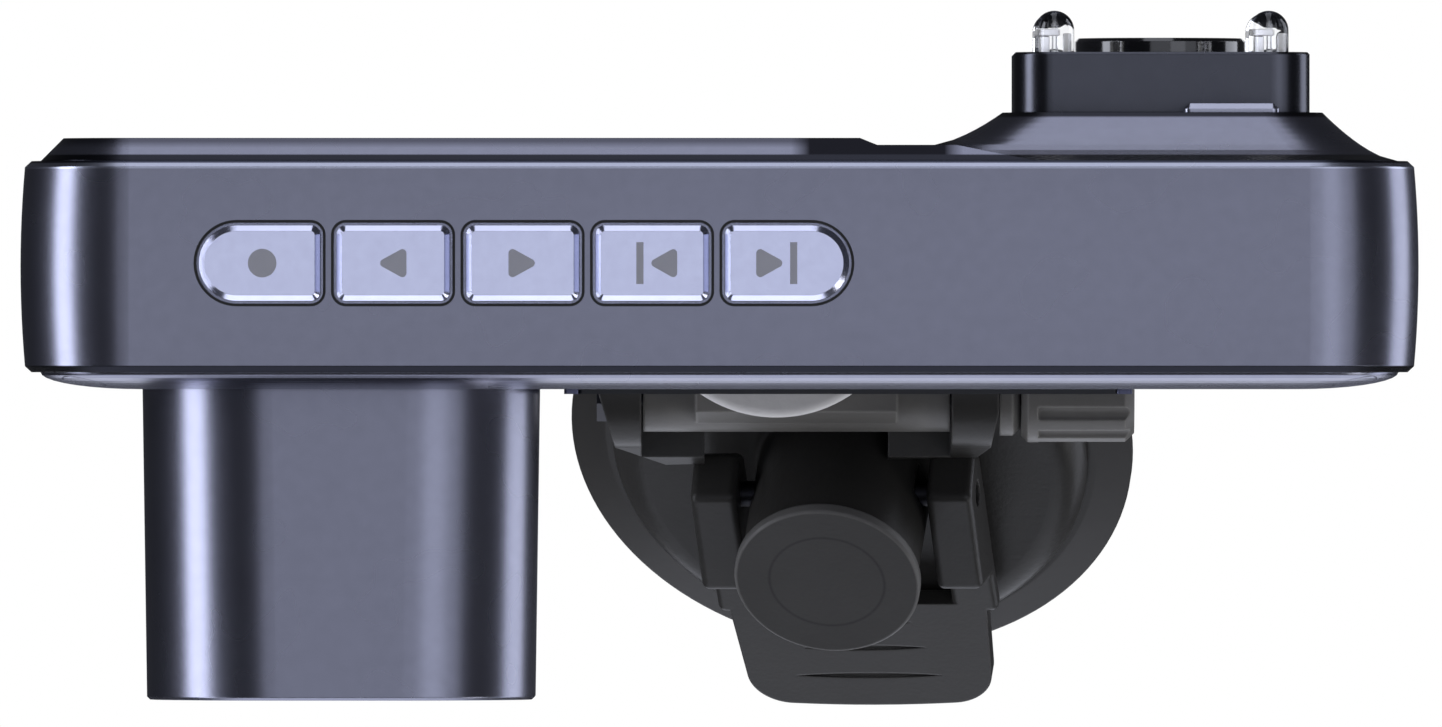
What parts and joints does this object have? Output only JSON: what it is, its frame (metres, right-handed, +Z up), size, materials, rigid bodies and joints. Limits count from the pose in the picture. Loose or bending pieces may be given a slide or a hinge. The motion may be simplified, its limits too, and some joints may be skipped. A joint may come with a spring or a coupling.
{
  "type": "dash camera",
  "caption": "Dash camera with a square front lens barrel, screen, interior lens with lamps, keys underneath and a lever-locked suction mount.",
  "frame": {"origin": "centre of the suction pad's flat rim, in the plane of the windscreen it sticks to", "axes": "+X along the camera towards its interior lens, +Y forward along the road, +Z up; the windscreen's normal leans 41.6 degrees from straight down"},
  "size_m": [0.104, 0.0526, 0.0948],
  "materials": {
    "case_paint": "satin metallic slate",
    "key_metal": "satin metallic lilac grey with bright bevels",
    "trim_silver": "satin silver trim",
    "dark_trim": "fine textured black",
    "gloss_black": "gloss black",
    "screen_glass": "dark cover glass",
    "lens_glass": "coated lens glass",
    "lamp_clear": "clear lamp resin",
    "lcd": "display panel",
    "board_green": "solder mask",
    "chip_black": "moulded epoxy",
    "steel": "plated steel",
    "brass": "turned brass",
    "battery_wrap": "laminated pouch",
    "speaker_cone": "paper cone in a plastic frame",
    "cable_film": "polyimide film",
    "mount_plastic": "fine grained black plastic",
    "turntable_plastic": "coarse grained grey plastic",
    "pad_rubber": "soft black rubber"
  },
  "bodies": {
    "suction_mount": {"suction_base": "mount_plastic", "suction_pad": "pad_rubber", "post_cap": "mount_plastic", "stem_spring": "steel", "hinge_bolt": "steel"},
    "stem": {"vacuum_stem": "mount_plastic", "lever_pin": "steel"},
    "lock_lever": {"lever": "mount_plastic"},
    "washer": {"clamp_washer": "mount_plastic"},
    "knob": {"clamp_knob": "mount_plastic", "knob_insert": "brass"},
    "head": {"tilt_head": "mount_plastic", "turntable": "turntable_plastic"},
    "plate": {"slide_plate": "mount_plastic", "pan_screw": "steel"},
    "card": {"memory_card": "dark_trim"},
    "rear_button": {"rear_key": "key_metal"},
    "record_key_cap": {"record_key": "key_metal"},
    "left_key_cap": {"left_key": "key_metal"},
    "right_key_cap": {"right_key": "key_metal"},
    "previous_key_cap": {"previous_key": "key_metal"},
    "next_key_cap": {"next_key": "key_metal"},
    "camera": {"middle_shell": "case_paint", "front_cover": "case_paint", "rear_cover": "case_paint", "barrel_shell": "case_paint", "front_trim": "dark_trim", "front_window": "lens_glass", "lens_holder": "chip_black", "lens_tube": "gloss_black", "lens_elements": "lens_glass", "front_sensor_board": "board_green", "front_grille": "dark_trim", "grille_end_blocks": "trim_silver", "speaker": "speaker_cone", "screen_glass": "screen_glass", "lcd_panel": "lcd", "lcd_frame": "steel", "interior_housing": "case_paint", "interior_lens_ring": "gloss_black", "interior_lens": "lens_glass", "interior_lens_tube": "gloss_black", "infrared_board": "board_green", "interior_sensor_board": "board_green", "infrared_lamps": "lamp_clear", "rear_key_switch": "chip_black", "rear_key_board": "board_green", "key_switches": "chip_black", "key_board": "board_green", "main_board": "board_green", "main_chips": "chip_black", "shield_can": "steel", "battery_pack": "battery_wrap", "board_screws": "steel", "case_screws": "steel", "flat_cables": "cable_film", "microphone": "steel", "usb_socket": "steel", "card_socket": "steel", "mount_shoe": "mount_plastic"}
  },
  "joints": [
    {"name": "lever_hinge", "type": "hinge", "parent": "stem", "child": "lock_lever", "pos_m": [-0.00124, 0.00473, -0.00798], "axis": [-0.9879, 0.0032, 0.1551], "range_deg": [0, 65]},
    {"name": "stem_slide", "type": "slide", "parent": "suction_mount", "child": "stem", "axis": [0.1153, -0.6538, 0.7478], "range_m": [0, 0.0012], "deforming": ["stem_spring", "suction_pad"]},
    {"name": "knob_turn", "type": "hinge", "parent": "washer", "child": "knob", "pos_m": [-0.00435, -0.0035, -0.016], "axis": [1, 0, 0], "range_deg": [0, 360]},
    {"name": "washer_slide", "type": "slide", "parent": "suction_mount", "child": "washer", "axis": [1, 0, 0], "range_m": [0, 0.0005]},
    {"name": "tilt", "type": "hinge", "parent": "suction_mount", "child": "head", "pos_m": [-0.00435, -0.0035, -0.016], "axis": [1, 0, 0], "range_deg": [-35, 35]},
    {"name": "pan", "type": "hinge", "parent": "head", "child": "plate", "pos_m": [-0.0059, -0.0113, -0.027], "axis": [0, 0, 1], "range_deg": [-45, 45]},
    {"name": "camera_slide", "type": "slide", "parent": "plate", "child": "camera", "axis": [-1, 0, 0], "range_m": [0, 0.026]},
    {"name": "card_slide", "type": "slide", "parent": "camera", "child": "card", "axis": [1, 0, 0], "range_m": [0, 0.012]},
    {"name": "rear_press", "type": "slide", "parent": "camera", "child": "rear_button", "axis": [0, 1, 0], "range_m": [0, 0.00035], "stiffness_N_per_m": 500},
    {"name": "record_key_press", "type": "slide", "parent": "camera", "child": "record_key_cap", "axis": [0, 0, 1], "range_m": [0, 0.0004], "stiffness_N_per_m": 500},
    {"name": "left_key_press", "type": "slide", "parent": "camera", "child": "left_key_cap", "axis": [0, 0, 1], "range_m": [0, 0.0004], "stiffness_N_per_m": 500},
    {"name": "right_key_press", "type": "slide", "parent": "camera", "child": "right_key_cap", "axis": [0, 0, 1], "range_m": [0, 0.0004], "stiffness_N_per_m": 500},
    {"name": "previous_key_press", "type": "slide", "parent": "camera", "child": "previous_key_cap", "axis": [0, 0, 1], "range_m": [0, 0.0004], "stiffness_N_per_m": 500},
    {"name": "next_key_press", "type": "slide", "parent": "camera", "child": "next_key_cap", "axis": [0, 0, 1], "range_m": [0, 0.0004], "stiffness_N_per_m": 500}
  ],
  "couplings": [
    {"joint": "stem_slide", "follows": "lever_hinge", "m_per_rad": 0.0010567},
    {"joint": "knob_turn", "follows": "washer_slide", "rad_per_m": 12554}
  ]
}
